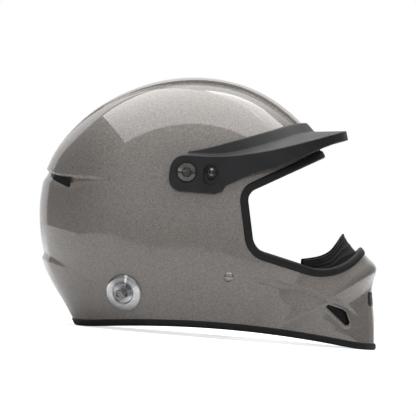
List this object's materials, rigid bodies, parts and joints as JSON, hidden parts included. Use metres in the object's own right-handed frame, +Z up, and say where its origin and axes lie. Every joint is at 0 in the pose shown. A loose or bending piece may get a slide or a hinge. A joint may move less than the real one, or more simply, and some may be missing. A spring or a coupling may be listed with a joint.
{
  "type": "auto racing helmet",
  "caption": "Full-face motor racing helmet with a wide eyeport, a tilting peak, side and mouth vents, head-restraint anchors and a padded interior.",
  "frame": {"origin": "on the ground under the middle of the whole helmet, which rests on its base trim", "axes": "+X forward, +Z up, wearer's right is -Y; the helmet is symmetrical about the XZ plane"},
  "size_m": [0.3662, 0.2622, 0.265],
  "materials": {
    "paint": "metallic flake under gloss clear coat",
    "rubber": "satin moulded rubber",
    "screen": "fine black mesh",
    "foam": "bead foam",
    "fabric": "brushed knit",
    "guard": "matt ribbed rubber",
    "peak_plastic": "moulded satin black",
    "black_steel": "black oxide",
    "steel": "satin",
    "bright_steel": "polished",
    "alloy": "turned and satin anodised",
    "nylon": "nylon",
    "webbing": "woven webbing"
  },
  "bodies": {
    "helmet": {"outer_shell": "paint", "eyeport_trim": "rubber", "base_trim": "rubber", "chin_vent_screens": "screen", "rear_vent_screens": "screen", "mouth_vent_screens": "screen", "eps_liner": "foam", "crown_pad": "fabric", "neck_roll": "fabric", "cheek_pad_left": "fabric", "cheek_pad_right": "fabric", "chin_bar_liner": "foam", "breath_guard": "guard", "peak_hinge_screws": "black_steel", "peak_lock_screws": "black_steel", "peak_hinge_nuts": "steel", "peak_lock_nuts": "steel", "peak_hinge_bushes": "nylon", "peak_lock_spacers": "nylon", "peak_lock_washers": "steel", "anchor_discs": "alloy", "anchor_posts": "steel", "anchor_nuts": "steel", "chin_strap_left": "webbing", "chin_strap_right": "webbing", "strap_snap": "black_steel", "strap_rivets": "bright_steel", "rivet_washers": "steel"},
    "peak": {"peak": "peak_plastic"},
    "d_ring_lower": {"d_ring_lower": "steel"},
    "d_ring_upper": {"d_ring_upper": "steel"}
  },
  "joints": [
    {"name": "peak_tilt", "type": "hinge", "parent": "helmet", "child": "peak", "pos_m": [-0.03436, 0, 0.1658], "axis": [0, -1, 0], "range_deg": [0, 11]},
    {"name": "lower_ring_swing", "type": "hinge", "parent": "helmet", "child": "d_ring_lower", "pos_m": [0.01714, -0.058, 0.014], "axis": [-1, 0, 0], "range_deg": [0, 70]},
    {"name": "upper_ring_swing", "type": "hinge", "parent": "helmet", "child": "d_ring_upper", "pos_m": [0.01714, -0.058, 0.0178], "axis": [1, 0, 0], "range_deg": [0, 100]}
  ]
}
